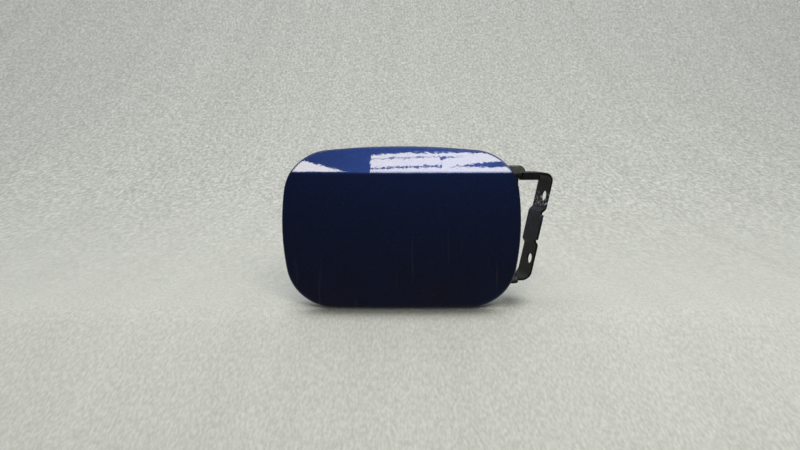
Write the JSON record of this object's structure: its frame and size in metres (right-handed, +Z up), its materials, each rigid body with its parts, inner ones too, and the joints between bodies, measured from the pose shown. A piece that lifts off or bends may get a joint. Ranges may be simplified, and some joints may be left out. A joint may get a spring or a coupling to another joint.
{
  "type": "fuel filler flap",
  "caption": "Rounded rectangular painted fuel filler flap with a creased upper strip, on a bent steel hinge strap with a slanted bolted leg and a sprung pivot.",
  "frame": {"origin": "middle of the two bolt holes in the strap's leg, on the plane of its mating face", "axes": "+X along the flap towards the hinge end, +Y into the car away from the painted face, +Z up"},
  "size_m": [0.22, 0.036, 0.1311],
  "materials": {
    "body_paint": "gloss metallic paint under clear lacquer",
    "panel_paint": "satin, thin body colour over primer",
    "mastic": "matt expanded mastic",
    "strap_coat": "satin black dip coat, worn at the edges",
    "bush_plastic": "moulded grey acetal",
    "plated_steel": "bright zinc plate",
    "bracket_coat": "satin black dip coat",
    "spring_wire": "oiled spring wire",
    "stop_rubber": "matt moulded rubber"
  },
  "bodies": {
    "hinge_base": {"hinge_strap": "strap_coat", "pivot_bush_upper": "bush_plastic", "pivot_bush_lower": "bush_plastic"},
    "flap": {"outer_skin": "body_paint", "inner_panel": "panel_paint", "anti_flutter_pads": "mastic", "hinge_bracket": "bracket_coat", "hinge_pin": "plated_steel", "retaining_clip": "plated_steel", "torsion_spring": "spring_wire", "latch_striker": "plated_steel", "striker_rivets": "plated_steel", "buffer_lower": "stop_rubber", "buffer_upper": "stop_rubber"}
  },
  "joints": [
    {"name": "flap_hinge", "type": "hinge", "parent": "hinge_base", "child": "flap", "pos_m": [-0.02404, -0.0101, 0], "axis": [0, 0, 1], "range_deg": [0, 90], "stiffness_Nm_per_rad": 0.04, "springref_deg": -34.38, "deforming": ["torsion_spring"]}
  ]
}
